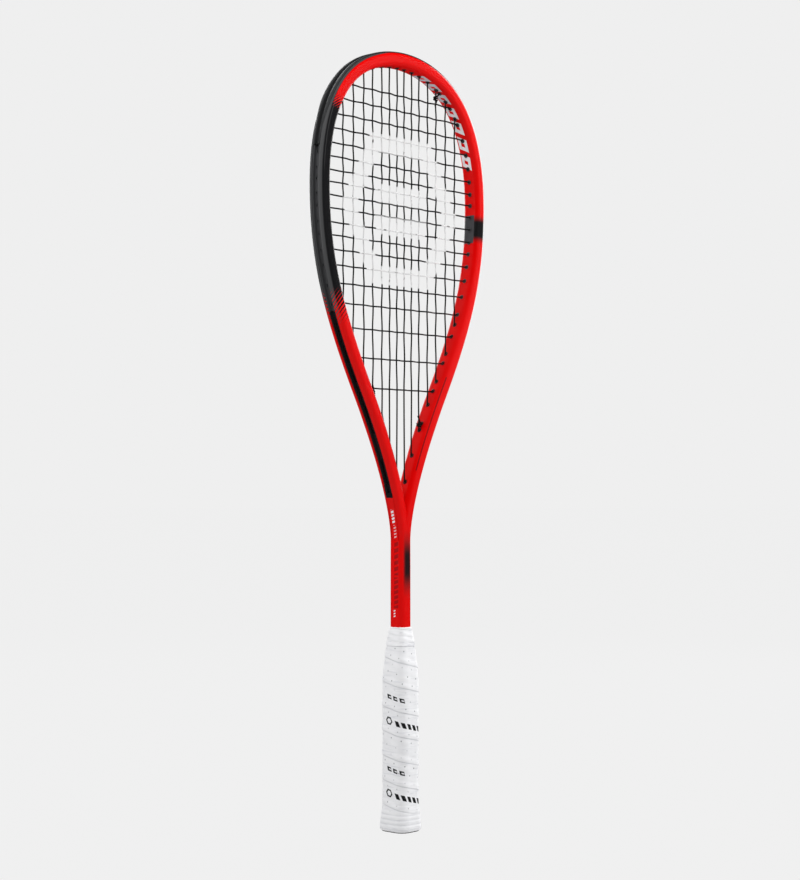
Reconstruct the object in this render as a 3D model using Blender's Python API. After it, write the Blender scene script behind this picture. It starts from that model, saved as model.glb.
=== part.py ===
"""Squash racket with an open throat, 14 main strings and 19 cross strings.

The racket stands on its butt: +Z runs along the handle to the head, X lies across the head and Y
through the strings. The front face looks to -Y. The origin is the middle of the butt end.

The head and throat are one tube, bent along a "rim" line. A place on that tube is given as
(s, n, y): s is the distance along the rim line from the top of the head, positive on the right
half; n is the distance outward from the rim line in the plane of the strings; y is world Y.
"""

import math

import bmesh
import bpy
import numpy as np
from mathutils import Matrix, Vector

MM = 0.001
GAP = 0.3 * MM  # left between any two pieces that touch

# Overall size
LENGTH = 686 * MM
WIDTH = 215 * MM

# Rim line of the right half, from the top of the head to where the throat meets the shaft
BUMPER_PROUD = 1.0 * MM
TUBE_HALF_WIDTH = 6.0 * MM
TOP_Z = LENGTH - BUMPER_PROUD - TUBE_HALF_WIDTH
TOP_HANDLE = 31 * MM
WIDEST_X = WIDTH / 2 - TUBE_HALF_WIDTH
WIDEST_Z = 560 * MM
WIDEST_HANDLE_UP = 107 * MM
WIDEST_HANDLE_DOWN = 64 * MM
THROAT_X = 48 * MM
THROAT_Z = 384 * MM
THROAT_LEAN = math.radians(28.6)
THROAT_HANDLE_UP = 78 * MM
THROAT_HANDLE_DOWN = 59 * MM
JOIN_X = 1.1 * MM
JOIN_Z = 254 * MM
JOIN_HANDLE = 28.6 * MM

# Section of the tube, and the hollow inside it
TUBE_HALF_DEPTH = 9.0 * MM
JOIN_HALF_DEPTH = 7.8 * MM
TUBE_CORNER = 4.5 * MM
THROAT_TAPER_LENGTH = 110 * MM
GROOVE_HALF_WIDTH = 3.8 * MM
GROOVE_FLOOR = 1.9 * MM
BORE_INNER = -4.9 * MM
BORE_OUTER = 0.8 * MM
BORE_WALL = 1.1 * MM

# Shaft
SHAFT_WIDTH = 14.6 * MM
SHAFT_DEPTH = 16.0 * MM
SHAFT_CORNER = 5.0 * MM
SHAFT_WALL = 1.3 * MM
SHAFT_FOOT_Z = 6 * MM
SHAFT_TOP_Z = 262 * MM

# Strings: distance of each main from the middle at the head and at the foot, and the height of
# the first cross with the steps down to the others
STRING_RADIUS = 0.6 * MM
STRING_SIDES = 4
WEAVE = 0.75 * MM
MAIN_HEADS = [4.7 * MM, 14.8 * MM, 25.0 * MM, 36.8 * MM, 48.5 * MM, 61.8 * MM, 75.1 * MM]
MAIN_FEET = [7.2 * MM, 16.1 * MM, 26.2 * MM, 37.6 * MM, 49.1 * MM, 62.3 * MM, 74.7 * MM]
FIRST_CROSS_Z = 648.4 * MM
CROSS_STEPS = [13.6, 13.8, 13.0, 12.5, 12.0, 11.5, 10.5, 11.0, 11.4, 11.8, 11.2, 12.0, 13.2,
               15.2, 16.8, 20.7, 25.0, 25.9]
CROSSES = len(CROSS_STEPS) + 1

# Grommets: the barrels, their holes, and where a string bends inside and outside the tube
BARREL_RADIUS = 1.6 * MM
BARREL_BORE = 0.95 * MM
BARREL_END = -6.5 * MM
HOLE_RADIUS = 1.95 * MM
INNER_BEND = -7.1 * MM
PLACE_DEPTH = -4.8 * MM
LANE_HEIGHT = 3.8 * MM
LANE = 1.5 * MM
LANE_EASE = 2.6 * MM
UPPER_LANE_HEIGHT = 5.2 * MM
STRIP_HALF_WIDTH = 3.5 * MM
STRIP_FLOOR = GROOVE_FLOOR + GAP
STRIP_BASE_TOP = 3.0 * MM
STRIP_CHANNEL = 2.3 * MM
STRIP_TOP = 5.6 * MM
BUMPER_FLANGE_HALF = 6.2 * MM
BUMPER_TOP = TUBE_HALF_WIDTH + BUMPER_PROUD

# Tie-off holes, by their distance along the rim from the grommet of a main string
HEAD_TIE_OFF_MAIN = 4
HEAD_TIE_OFF_STEP = 5.5 * MM
FOOT_TIE_OFF_MAIN = 2
FOOT_TIE_OFF_STEP = 6.5 * MM
LAST_TIE_OFF_MAIN = 3
LAST_TIE_OFF_STEP = 7.5 * MM
KNOT_RADIUS = 1.75 * MM
KNOT_PITCH = 1.65 * MM
KNOT_SPANS = 18
KNOT_SPANS_A_TURN = 8
TAIL_LENGTH = 7 * MM
HEAD_KNOT_DROP = 2.2 * MM
FOOT_KNOT_RISE = 2.2 * MM
LAST_KNOT_RISE = 12 * MM

# Handle: width, depth and corner of the wrapped grip, and how it narrows towards the shaft
GRIP_WIDTH = 27 * MM
GRIP_DEPTH = 29 * MM
GRIP_CORNER = 9 * MM
GRIP_HEIGHTS = [0, 3 * MM, 12 * MM, 24 * MM, 131 * MM, 140 * MM, 152 * MM, 162 * MM, 170 * MM,
                178.5 * MM]
GRIP_SCALES = [1.14, 1.16, 1.10, 1.0, 1.0, 0.965, 0.875, 0.80, 0.72, 0.61]
TAPE_THICKNESS = 1.8 * MM
TAPE_FOOT_Z = 0.8 * MM
TAPE_TOP_Z = 162 * MM
FINISH_TOP_Z = 178.5 * MM
CAP_SKIRT_Z = 24 * MM
CAP_FLOOR = 4 * MM
PALLET_FOOT_Z = CAP_FLOOR + GAP
PALLET_TOP_Z = 161.7 * MM
CAP_WALL = 1.2 * MM

# Staples that hold the butt cap to the pallets
STAPLE_Z = 14 * MM
STAPLE_SPAN = 9 * MM
STAPLE_WIRE = 0.8 * MM
STAPLE_CROWN_X = 12.0 * MM
STAPLE_TIP_X = 8.0 * MM


# ---------------------------------------------------------------- scene and mesh helpers

def clear_scene():
    for obj in list(bpy.data.objects):
        bpy.data.objects.remove(obj, do_unlink=True)


def make_material(name, colour, roughness, metallic=0.0):
    material = bpy.data.materials.new(name)
    material.use_nodes = True
    shader = material.node_tree.nodes["Principled BSDF"]
    shader.inputs["Base Color"].default_value = (*colour, 1.0)
    shader.inputs["Roughness"].default_value = roughness
    shader.inputs["Metallic"].default_value = metallic
    return material


def add_object(name, bm, material=None, helper=False):
    """Makes an object of a bmesh. A helper is a cutter or a part of a join, and isn't a piece."""
    bmesh.ops.recalc_face_normals(bm, faces=bm.faces)
    mesh = bpy.data.meshes.new(name)
    bm.to_mesh(mesh)
    bm.free()
    mesh.shade_smooth()
    mesh.set_sharp_from_angle(angle=math.radians(35))
    obj = bpy.data.objects.new(name, mesh)
    bpy.context.scene.collection.objects.link(obj)
    if material:
        mesh.materials.append(material)
    if helper:
        obj.hide_render = True
        obj.display_type = "WIRE"
    return obj


def boolean(obj, other, operation, solver="EXACT"):
    modifier = obj.modifiers.new(operation.title(), "BOOLEAN")
    modifier.operation = operation
    modifier.solver = solver
    modifier.object = other


def add_loft(bm, rings, closed=False):
    """Joins rings of points, each of the same count, with quads, and caps the two ends."""
    loops = [[bm.verts.new(point) for point in ring] for ring in rings]
    count = len(loops[0])
    pairs = list(zip(loops, loops[1:]))
    if closed:
        pairs.append((loops[-1], loops[0]))
    for low, high in pairs:
        for i in range(count):
            j = (i + 1) % count
            bm.faces.new((low[i], low[j], high[j], high[i]))
    if not closed:
        bm.faces.new(reversed(loops[0]))
        bm.faces.new(loops[-1])


def rounded_rectangle(half_width, half_depth, corner, steps):
    """Points (across, along) of a rounded rectangle, anticlockwise, with steps spans a corner."""
    points = []
    centres = [(1, 1), (-1, 1), (-1, -1), (1, -1)]
    for quarter, (sign_w, sign_d) in enumerate(centres):
        for k in range(steps + 1):
            angle = math.radians(90) * (quarter + k / steps)
            across = sign_w * (half_width - corner) + corner * math.cos(angle)
            along = sign_d * (half_depth - corner) + corner * math.sin(angle)
            points.append((across, along))
    return points


def add_box(bm, low, high):
    low, high = Vector(low), Vector(high)
    centre = Matrix.Translation((low + high) / 2)
    size = Matrix.Diagonal((*(high - low), 1.0))
    bmesh.ops.create_cube(bm, size=1.0, matrix=centre @ size)


# ---------------------------------------------------------------- rim line

def cubic(start, start_handle, end_handle, end, steps):
    t = np.linspace(0, 1, steps)[:, None]
    start, start_handle, end_handle, end = map(np.array, (start, start_handle, end_handle, end))
    return ((1 - t) ** 3 * start + 3 * (1 - t) ** 2 * t * start_handle
            + 3 * (1 - t) * t ** 2 * end_handle + t ** 3 * end)


class Rim:
    """The rim line as straight spans between evenly spaced stations.

    Every piece on the rim takes its places from the same stations, so that faceted pieces stay
    parallel to each other.
    """

    FINE_STEPS = 400
    SPANS = 60

    def __init__(self):
        lean = np.array([math.sin(THROAT_LEAN), math.cos(THROAT_LEAN)])
        throat = np.array([THROAT_X, THROAT_Z])
        half = np.vstack([
            cubic((0, TOP_Z), (TOP_HANDLE, TOP_Z), (WIDEST_X, WIDEST_Z + WIDEST_HANDLE_UP),
                  (WIDEST_X, WIDEST_Z), self.FINE_STEPS),
            cubic((WIDEST_X, WIDEST_Z), (WIDEST_X, WIDEST_Z - WIDEST_HANDLE_DOWN),
                  throat + lean * THROAT_HANDLE_UP, throat, self.FINE_STEPS)[1:],
            cubic(throat, throat - lean * THROAT_HANDLE_DOWN, (JOIN_X, JOIN_Z + JOIN_HANDLE),
                  (JOIN_X, JOIN_Z), self.FINE_STEPS)[1:],
        ])
        fine = np.vstack([half[:0:-1] * np.array([-1, 1]), half])
        along = np.concatenate([[0], np.cumsum(np.linalg.norm(np.diff(fine, axis=0), axis=1))])
        along -= along[-1] / 2
        tangents = np.gradient(fine, along, axis=0)
        tangents /= np.linalg.norm(tangents, axis=1)[:, None]
        self.length = along[-1]
        self.spacing = 2 * self.length / self.SPANS
        self.s = np.linspace(-self.length, self.length, self.SPANS + 1)
        self.points = np.stack([np.interp(self.s, along, fine[:, k]) for k in (0, 1)], axis=1)
        self.normals = np.stack([np.interp(self.s, along, -tangents[:, 1]),
                                 np.interp(self.s, along, tangents[:, 0])], axis=1)
        self.widest = float(along[len(half) - 1 + self.FINE_STEPS - 1])

    def stations(self, start, end):
        """start, the stations between, and end, in that order also where end is the smaller."""
        low, high = min(start, end), max(start, end)
        between = [s for s in self.s if low + 1 * MM < s < high - 1 * MM]
        places = [low] + between + [high]
        return places if start < end else places[::-1]

    def at(self, s, n=0.0, y=0.0):
        x = np.interp(s, self.s, self.points[:, 0]) + n * np.interp(s, self.s, self.normals[:, 0])
        z = np.interp(s, self.s, self.points[:, 1]) + n * np.interp(s, self.s, self.normals[:, 1])
        return Vector((x, y, z))

    def find(self, axis, value, low, high):
        """The s between low and high where the line at PLACE_DEPTH has this x (axis 0) or z (axis 1)."""
        places = np.linspace(low, high, self.FINE_STEPS)
        line = np.array([self.at(s, PLACE_DEPTH)[2 * axis] for s in places])
        order = np.argsort(line)
        return float(np.interp(value, line[order], places[order]))

    def main_head(self, index):
        return self.find(0, MAIN_HEADS[index], 0, self.widest)

    def main_foot(self, index):
        return self.find(0, MAIN_FEET[index], self.widest, self.length - 30 * MM)

    def cross_end(self, index):
        return self.find(1, cross_height(index), 0, self.length)


def cross_height(index):
    return FIRST_CROSS_Z - sum(CROSS_STEPS[:index]) * MM


RIM = Rim()
MAINS = len(MAIN_HEADS)
HEAD_TIE_OFF = RIM.main_head(HEAD_TIE_OFF_MAIN) + HEAD_TIE_OFF_STEP
FOOT_TIE_OFF = RIM.main_foot(FOOT_TIE_OFF_MAIN) - FOOT_TIE_OFF_STEP
LAST_TIE_OFF = RIM.main_foot(LAST_TIE_OFF_MAIN) + LAST_TIE_OFF_STEP
GROOVE_END = RIM.main_foot(0) + 6.5 * MM
BUMPER_END = (RIM.cross_end(4) + RIM.cross_end(5)) / 2
THROAT_STRIP_START = (RIM.cross_end(15) + RIM.main_foot(MAINS - 1)) / 2


def grommet_places():
    """The s of every grommet, on both halves of the rim."""
    right = [RIM.main_head(i) for i in range(MAINS)]
    right += [RIM.cross_end(i) for i in range(CROSSES)]
    right += [RIM.main_foot(i) for i in range(MAINS)]
    right += [HEAD_TIE_OFF, FOOT_TIE_OFF]
    left = [-s for s in right] + [-LAST_TIE_OFF]
    return sorted(left + right)


# ---------------------------------------------------------------- pieces on the rim

def add_rim_sweep(bm, start, end, section):
    """Sweeps section, a function of s that gives (n, y) points, along the rim."""
    add_loft(bm, [[RIM.at(s, n, y) for n, y in section(s)] for s in RIM.stations(start, end)])


def add_rim_cylinders(bm, places, radius, low, high, sides=6):
    """One cylinder along the outward direction at each place, from n = low to n = high."""
    for s in places:
        base = RIM.at(s)
        outward = (RIM.at(s, 1.0) - base).normalized()
        along = outward.cross(Vector((0, 1, 0)))
        circle = []
        for k in range(sides):
            angle = math.tau * (k + 0.5) / sides
            circle.append(radius * (along * math.cos(angle) + Vector((0, math.sin(angle), 0))))
        add_loft(bm, [[base + outward * n + offset for offset in circle] for n in (low, high)])


def tube_depth_at(s):
    """Half the depth of the tube, which thins towards the shaft."""
    taper = (RIM.length - abs(s)) / THROAT_TAPER_LENGTH
    return JOIN_HALF_DEPTH + (TUBE_HALF_DEPTH - JOIN_HALF_DEPTH) * min(1.0, taper)


def tube_section(s):
    """A rounded rectangle whose outer side has the groove, which is flat past the groove's ends."""
    outline = rounded_rectangle(TUBE_HALF_WIDTH, tube_depth_at(s), TUBE_CORNER, 2)
    if abs(s) > GROOVE_END:
        floor, inner = TUBE_HALF_WIDTH, GROOVE_HALF_WIDTH - 1 * MM
    else:
        floor, inner = GROOVE_FLOOR, GROOVE_HALF_WIDTH
    groove = [(TUBE_HALF_WIDTH, -GROOVE_HALF_WIDTH), (floor, -inner), (floor, inner),
              (TUBE_HALF_WIDTH, GROOVE_HALF_WIDTH)]
    return outline + groove


def bore_section(s):
    half = (BORE_OUTER - BORE_INNER) / 2
    middle = (BORE_OUTER + BORE_INNER) / 2
    corner = TUBE_CORNER - BORE_WALL - 1.0 * MM
    points = rounded_rectangle(half, tube_depth_at(s) - BORE_WALL, corner, 1)
    return [(n + middle, y) for n, y in points]


def strip_section(_):
    side, channel = STRIP_HALF_WIDTH, STRIP_CHANNEL
    return [(STRIP_FLOOR, -side), (STRIP_TOP, -side), (STRIP_TOP, -channel), (STRIP_BASE_TOP, -channel),
            (STRIP_BASE_TOP, channel), (STRIP_TOP, channel), (STRIP_TOP, side), (STRIP_FLOOR, side)]


def bumper_section(_):
    side, channel, flange = STRIP_HALF_WIDTH, STRIP_CHANNEL, BUMPER_FLANGE_HALF
    under = TUBE_HALF_WIDTH + GAP
    half = [(STRIP_BASE_TOP, channel), (BUMPER_TOP, channel), (BUMPER_TOP, flange - 0.5 * MM),
            (under, flange), (under, side), (STRIP_FLOOR, side)]
    return [(n, -y) for n, y in reversed(half)] + half


def make_half_tube(name, side, end, section, material=None):
    """The tube from the first station past the top of the head down the other side of the rim."""
    plain_from = GROOVE_END + 0.5 * MM
    places = RIM.stations(-RIM.spacing, GROOVE_END) + RIM.stations(plain_from, end)
    bm = bmesh.new()
    add_loft(bm, [[RIM.at(side * s, n, y) for n, y in section(s)] for s in places])
    return add_object(name, bm, material, helper=material is None)


def make_shaft_core(name, low, high, clearance):
    bm = bmesh.new()
    add_loft(bm, [shaft_outline(z, clearance) for z in (low, high)])
    return add_object(name, bm, helper=True)


def make_frame(material):
    """The hollow moulding. Its tubes cross at shallow angles, which needs the MANIFOLD solver."""
    frame = make_half_tube("frame", 1, RIM.length, tube_section, material)
    bore_end = RIM.length - 1 * MM
    holes = bmesh.new()
    add_rim_cylinders(holes, grommet_places(), HOLE_RADIUS, -8 * MM, GROOVE_FLOOR + 1 * MM)
    shaft_bore_top = SHAFT_TOP_Z + 2 * MM
    for operation, other in (
        ("UNION", make_half_tube("left_tube", -1, RIM.length, tube_section)),
        ("UNION", make_shaft_core("shaft_blank", SHAFT_FOOT_Z, SHAFT_TOP_Z, 0)),
        ("DIFFERENCE", make_half_tube("right_bore", 1, bore_end, bore_section)),
        ("DIFFERENCE", make_half_tube("left_bore", -1, bore_end, bore_section)),
        ("DIFFERENCE", make_shaft_core("shaft_bore", SHAFT_FOOT_Z - 5 * MM, shaft_bore_top, -SHAFT_WALL)),
        ("DIFFERENCE", add_object("hole_cutter", holes, helper=True)),
    ):
        boolean(frame, other, operation, solver="MANIFOLD")
    return frame


def make_strip(name, start, end, section, material):
    """A moulded strip in the groove, with a grommet barrel at each hole that it covers."""
    bm = bmesh.new()
    add_rim_sweep(bm, start, end, section)
    strip = add_object(name, bm, material)
    places = [s for s in grommet_places() if start < s < end]
    bm = bmesh.new()
    add_rim_cylinders(bm, places, BARREL_RADIUS, BARREL_END, STRIP_BASE_TOP - 0.35 * MM)
    boolean(strip, add_object(name + "_barrels", bm, helper=True), "UNION")
    bm = bmesh.new()
    add_rim_cylinders(bm, places, BARREL_BORE, BARREL_END - 1 * MM, STRIP_BASE_TOP + 0.5 * MM)
    boolean(strip, add_object(name + "_bores", bm, helper=True), "DIFFERENCE")
    return strip


# ---------------------------------------------------------------- strings

def add_string(bm, path):
    """A tube along path, with its ring turned no more than the path turns, mitred at each bend."""
    points = [path[0]]
    for point in path[1:]:
        if (point - points[-1]).length > 0.05 * MM:
            points.append(point)
    spans = [(b - a).normalized() for a, b in zip(points, points[1:])]
    side = spans[0].cross(Vector((0.31, 0.87, 0.38))).normalized()
    rings = []
    for i, point in enumerate(points):
        before = spans[max(i - 1, 0)]
        after = spans[min(i, len(spans) - 1)]
        side = (side - before * side.dot(before)).normalized()
        up = before.cross(side)
        plane = (before + after).normalized()
        ring = []
        for k in range(STRING_SIDES):
            angle = math.tau * k / STRING_SIDES
            offset = STRING_RADIUS * (side * math.cos(angle) + up * math.sin(angle))
            offset -= before * (offset.dot(plane) / before.dot(plane))
            ring.append(point + offset)
        rings.append(ring)
        side = before.rotation_difference(after) @ side
    add_loft(bm, rings)


def loop_outside(first, second, lane, height=LANE_HEIGHT):
    """The string from the inner bend at one grommet, out, along the channel and in at another."""
    ease = math.copysign(LANE_EASE if lane else 0, second - first)
    path = [RIM.at(first, INNER_BEND), RIM.at(first, height)]
    path += [RIM.at(s, height, lane) for s in RIM.stations(first + ease, second - ease)]
    return path + [RIM.at(second, height), RIM.at(second, INNER_BEND)]


def main_places(index):
    """Head and foot s of main string index, counted from 0 at the left to 13 at the right."""
    rank = MAINS - 1 - index if index < MAINS else index - MAINS
    sign = -1 if index < MAINS else 1
    return sign * RIM.main_head(rank), sign * RIM.main_foot(rank)


def over_or_under(main, cross):
    return WEAVE if (main + cross) % 2 else -WEAVE


def main_leg(index):
    """Points of a main string from its head down to its foot, over and under the crosses."""
    head, foot = (RIM.at(s, INNER_BEND) for s in main_places(index))
    points = []
    for cross in range(CROSSES):
        z = cross_height(cross)
        if not foot.z + 3 * MM < z < head.z - 3 * MM:
            continue
        part = (head.z - z) / (head.z - foot.z)
        points.append(Vector((head.x + (foot.x - head.x) * part, over_or_under(index, cross), z)))
    return points


def cross_leg(index):
    """Points of a cross string from left to right, on the other side of each main."""
    z = cross_height(index)
    points = []
    for main in range(2 * MAINS):
        for point in main_leg(main):
            if abs(point.z - z) < 1e-6:
                points.append(Vector((point.x, -point.y, z)))
    return points


def main_at(index, z):
    """The point at height z on main string index."""
    head, foot = (RIM.at(s, INNER_BEND) for s in main_places(index))
    line = [foot] + main_leg(index)[::-1] + [head]
    heights = [point.z for point in line]
    x = np.interp(z, heights, [point.x for point in line])
    y = np.interp(z, heights, [point.y for point in line])
    return Vector((x, y, z))


def knot(hole, main, start_z, rise, tail):
    """From a tie-off hole, turns around a main string, rising or falling, and then a short tail."""
    mouth = RIM.at(hole, INNER_BEND)
    side = math.copysign(1, mouth.x - main_at(main, start_z).x)
    path = [mouth]
    for k in range(KNOT_SPANS + 1):
        turn = k / KNOT_SPANS_A_TURN
        angle = math.tau * turn
        core = main_at(main, start_z + rise * KNOT_PITCH * turn)
        path.append(core + KNOT_RADIUS * Vector((side * math.cos(angle), -math.sin(angle), 0)))
    return path + [path[-1] + Vector(tail).normalized() * TAIL_LENGTH]


def main_string_path():
    knot_z = RIM.at(FOOT_TIE_OFF, INNER_BEND).z + FOOT_KNOT_RISE
    ends = []
    for side in (-1, 1):
        rank = FOOT_TIE_OFF_MAIN
        main = MAINS + rank if side > 0 else MAINS - 1 - rank
        last_foot = side * RIM.main_foot(MAINS - 1)
        run = loop_outside(last_foot, side * FOOT_TIE_OFF, 0, UPPER_LANE_HEIGHT)
        turns = knot(side * FOOT_TIE_OFF, main, knot_z, 1, (-side * 0.55, -0.1, 0.85))
        ends.append(run + turns[1:])
    path = ends[0][::-1]
    for index in range(2 * MAINS):
        upward = index % 2 == 0
        leg = main_leg(index)
        path += leg[::-1] if upward else leg
        if index < 2 * MAINS - 1:
            which = 0 if upward else 1
            path += loop_outside(main_places(index)[which], main_places(index + 1)[which], LANE)
    return path + ends[1]


def cross_string_path():
    head_knot_z = RIM.at(HEAD_TIE_OFF, INNER_BEND).z - HEAD_KNOT_DROP
    head_knot = knot(HEAD_TIE_OFF, MAINS + HEAD_TIE_OFF_MAIN, head_knot_z, -1, (-0.5, -0.1, -0.85))
    path = head_knot[::-1]
    path += loop_outside(HEAD_TIE_OFF, RIM.cross_end(0), -LANE)[1:]
    for index in range(CROSSES):
        leftward = index % 2 == 0
        leg = cross_leg(index)
        path += leg[::-1] if leftward else leg
        side = -1 if leftward else 1
        if index < CROSSES - 1:
            path += loop_outside(side * RIM.cross_end(index), side * RIM.cross_end(index + 1), -LANE)
    path += loop_outside(-RIM.cross_end(CROSSES - 1), -LAST_TIE_OFF, -LANE)
    last_knot_z = RIM.at(LAST_TIE_OFF, INNER_BEND).z + LAST_KNOT_RISE
    last_knot = knot(-LAST_TIE_OFF, MAINS - 1 - LAST_TIE_OFF_MAIN, last_knot_z, 1, (0.5, -0.1, 0.85))
    return path + last_knot[1:]


def make_string(name, path, material):
    bm = bmesh.new()
    add_string(bm, path)
    return add_object(name, bm, material)


# ---------------------------------------------------------------- handle

def grip_outline(z, inset, steps=4):
    """Points of the handle's outline at height z, inset from the surface of the grip."""
    scale = float(np.interp(z, GRIP_HEIGHTS, GRIP_SCALES))
    half_width = GRIP_WIDTH * scale / 2 - inset
    half_depth = GRIP_DEPTH * scale / 2 - inset
    corner = max(GRIP_CORNER * scale - inset, 1.5 * MM)
    return [(x, y, z) for x, y in rounded_rectangle(half_width, half_depth, corner, steps)]


def shaft_outline(z, clearance, steps=4):
    outline = rounded_rectangle(SHAFT_WIDTH / 2 + clearance, SHAFT_DEPTH / 2 + clearance,
                                SHAFT_CORNER + clearance, steps)
    return [(x, y, z) for x, y in outline]


def cap_cavity_outline(z, inset):
    """The straight-sided room inside the butt cap, inset by so much, at height z."""
    wall = TAPE_THICKNESS + GAP + CAP_WALL
    return [(x, y, z) for x, y, _ in grip_outline(CAP_SKIRT_Z, wall + inset)]


def heights_between(low, high):
    return [low] + [z for z in GRIP_HEIGHTS if low < z < high] + [high]


def make_sleeve(name, low, high, inner_ring, material):
    """A sleeve with the outline of the grip outside and inner_ring(z) inside."""
    heights = heights_between(low, high)
    outer = [grip_outline(z, 0) for z in heights]
    inner = [inner_ring(z) for z in heights]
    bm = bmesh.new()
    add_loft(bm, outer + inner[::-1], closed=True)
    return add_object(name, bm, material)


def make_grip_tape(material):
    def inside(z):
        return grip_outline(z, TAPE_THICKNESS)

    return make_sleeve("grip_tape", TAPE_FOOT_Z, TAPE_TOP_Z, inside, material)


def make_finishing_tape(material):
    def inside(z):
        return shaft_outline(z, GAP)

    return make_sleeve("finishing_tape", TAPE_TOP_Z + GAP, FINISH_TOP_Z, inside, material)


def make_pallet(name, side, staple_cutter, material):
    """One half of the handle core, hollowed for the shaft and cut back inside the butt cap."""
    shelf = CAP_SKIRT_Z + GAP
    bm = bmesh.new()
    add_loft(bm, [cap_cavity_outline(z, GAP) for z in (PALLET_FOOT_Z, shelf)]
             + [grip_outline(z, TAPE_THICKNESS + GAP) for z in heights_between(shelf, PALLET_TOP_Z)])
    pallet = add_object(name, bm, material)
    bm = bmesh.new()
    add_loft(bm, [shaft_outline(z, GAP) for z in (0, LENGTH / 2)])
    boolean(pallet, add_object(name + "_shaft_cutter", bm, helper=True), "DIFFERENCE")
    bm = bmesh.new()
    far = GRIP_WIDTH
    edge = side * GAP / 2
    low_x, high_x = sorted((edge, -side * far))
    add_box(bm, (low_x, -far, -far), (high_x, far, LENGTH / 2))
    boolean(pallet, add_object(name + "_half_cutter", bm, helper=True), "DIFFERENCE")
    boolean(pallet, staple_cutter, "DIFFERENCE")
    return pallet


def make_butt_cap(staple_cutters, material):
    """A cup around the foot of the pallets, flared at its open bottom edge."""
    skin = TAPE_THICKNESS + GAP
    bm = bmesh.new()
    heights = [0] + heights_between(TAPE_FOOT_Z, CAP_SKIRT_Z)
    add_loft(bm, [grip_outline(z, skin) for z in heights])
    cap = add_object("butt_cap", bm, material)
    bm = bmesh.new()
    add_loft(bm, [cap_cavity_outline(z, 0) for z in (CAP_FLOOR, CAP_SKIRT_Z + 5 * MM)])
    boolean(cap, add_object("cap_cavity", bm, helper=True), "DIFFERENCE")
    for cutter in staple_cutters:
        boolean(cap, cutter, "DIFFERENCE")
    return cap


def make_staple(name, side, grow, material=None):
    """A wire staple: a crown along Y and two legs, a little thinner, that point at the shaft."""
    half = STAPLE_WIRE / 2 + grow
    span = STAPLE_SPAN / 2 + half
    outer = STAPLE_CROWN_X + half + (2 * MM if grow else 0)
    xs = sorted((side * (STAPLE_CROWN_X - half), side * outer))
    bm = bmesh.new()
    add_box(bm, (xs[0], -span, STAPLE_Z - half), (xs[1], span, STAPLE_Z + half))
    staple = add_object(name, bm, material, helper=material is None)
    thin = half - 0.05 * MM
    xs = sorted((side * (STAPLE_TIP_X - grow), side * STAPLE_CROWN_X))
    for number, y in enumerate((-STAPLE_SPAN / 2, STAPLE_SPAN / 2)):
        bm = bmesh.new()
        add_box(bm, (xs[0], y - thin, STAPLE_Z - thin), (xs[1], y + thin, STAPLE_Z + thin))
        boolean(staple, add_object(f"{name}_leg_{number}", bm, helper=True), "UNION")
    return staple


# ---------------------------------------------------------------- racket

def main():
    clear_scene()
    lacquer = make_material("red_lacquer", (0.75, 0.02, 0.01), 0.25)
    nylon = make_material("black_nylon", (0.02, 0.02, 0.02), 0.45)
    string = make_material("black_string", (0.03, 0.03, 0.03), 0.35)
    foam = make_material("handle_foam", (0.55, 0.50, 0.38), 0.8)
    plastic = make_material("cap_plastic", (0.05, 0.05, 0.05), 0.5)
    steel = make_material("staple_steel", (0.60, 0.60, 0.60), 0.3, metallic=1.0)
    tape = make_material("white_grip", (0.85, 0.85, 0.85), 0.6)

    make_frame(lacquer)
    make_strip("bumper_guard", -BUMPER_END, BUMPER_END, bumper_section, nylon)
    for side, start, end in (
        ("left", -THROAT_STRIP_START + GAP, -BUMPER_END - GAP),
        ("right", BUMPER_END + GAP, THROAT_STRIP_START - GAP),
    ):
        make_strip("grommet_strip_" + side, start, end, strip_section, nylon)
    for side, start, end in (
        ("left", -GROOVE_END + GAP, -THROAT_STRIP_START),
        ("right", THROAT_STRIP_START, GROOVE_END - GAP),
    ):
        make_strip("throat_strip_" + side, start, end, strip_section, nylon)
    make_string("main_string", main_string_path(), string)
    make_string("cross_string", cross_string_path(), string)

    cutters = []
    for name, side in (("left", -1), ("right", 1)):
        make_staple("cap_staple_" + name, side, 0, steel)
        cutters.append(make_staple(f"cap_staple_{name}_cutter", side, GAP))
        make_pallet("pallet_" + name, side, cutters[-1], foam)
    make_butt_cap(cutters, plastic)
    make_grip_tape(tape)
    make_finishing_tape(tape)


main()
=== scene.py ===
"""The looks of the squash racket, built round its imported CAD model.

Lengths are in metres. A place on the rim is (s, n, y): s runs along the rim line from the top of
the head, positive on the right half, n is outward from that line and y is the row's Y.
"""

import math

import bmesh
import bpy
import numpy as np
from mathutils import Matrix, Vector


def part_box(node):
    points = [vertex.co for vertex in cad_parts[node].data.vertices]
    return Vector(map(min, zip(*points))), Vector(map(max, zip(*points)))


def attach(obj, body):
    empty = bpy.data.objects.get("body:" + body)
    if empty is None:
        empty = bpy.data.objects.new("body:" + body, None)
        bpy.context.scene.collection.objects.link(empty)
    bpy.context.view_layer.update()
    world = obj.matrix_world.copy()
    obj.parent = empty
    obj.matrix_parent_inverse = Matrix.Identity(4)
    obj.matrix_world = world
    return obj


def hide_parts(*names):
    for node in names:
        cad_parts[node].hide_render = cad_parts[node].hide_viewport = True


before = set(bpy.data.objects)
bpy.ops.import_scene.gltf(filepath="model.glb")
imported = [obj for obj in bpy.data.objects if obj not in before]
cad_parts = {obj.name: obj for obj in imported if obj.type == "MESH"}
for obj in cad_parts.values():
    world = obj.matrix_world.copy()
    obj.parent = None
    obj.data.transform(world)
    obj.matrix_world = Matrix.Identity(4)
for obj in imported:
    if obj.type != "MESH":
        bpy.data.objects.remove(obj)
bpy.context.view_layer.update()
FRAME_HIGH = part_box("frame")[1]
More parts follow.
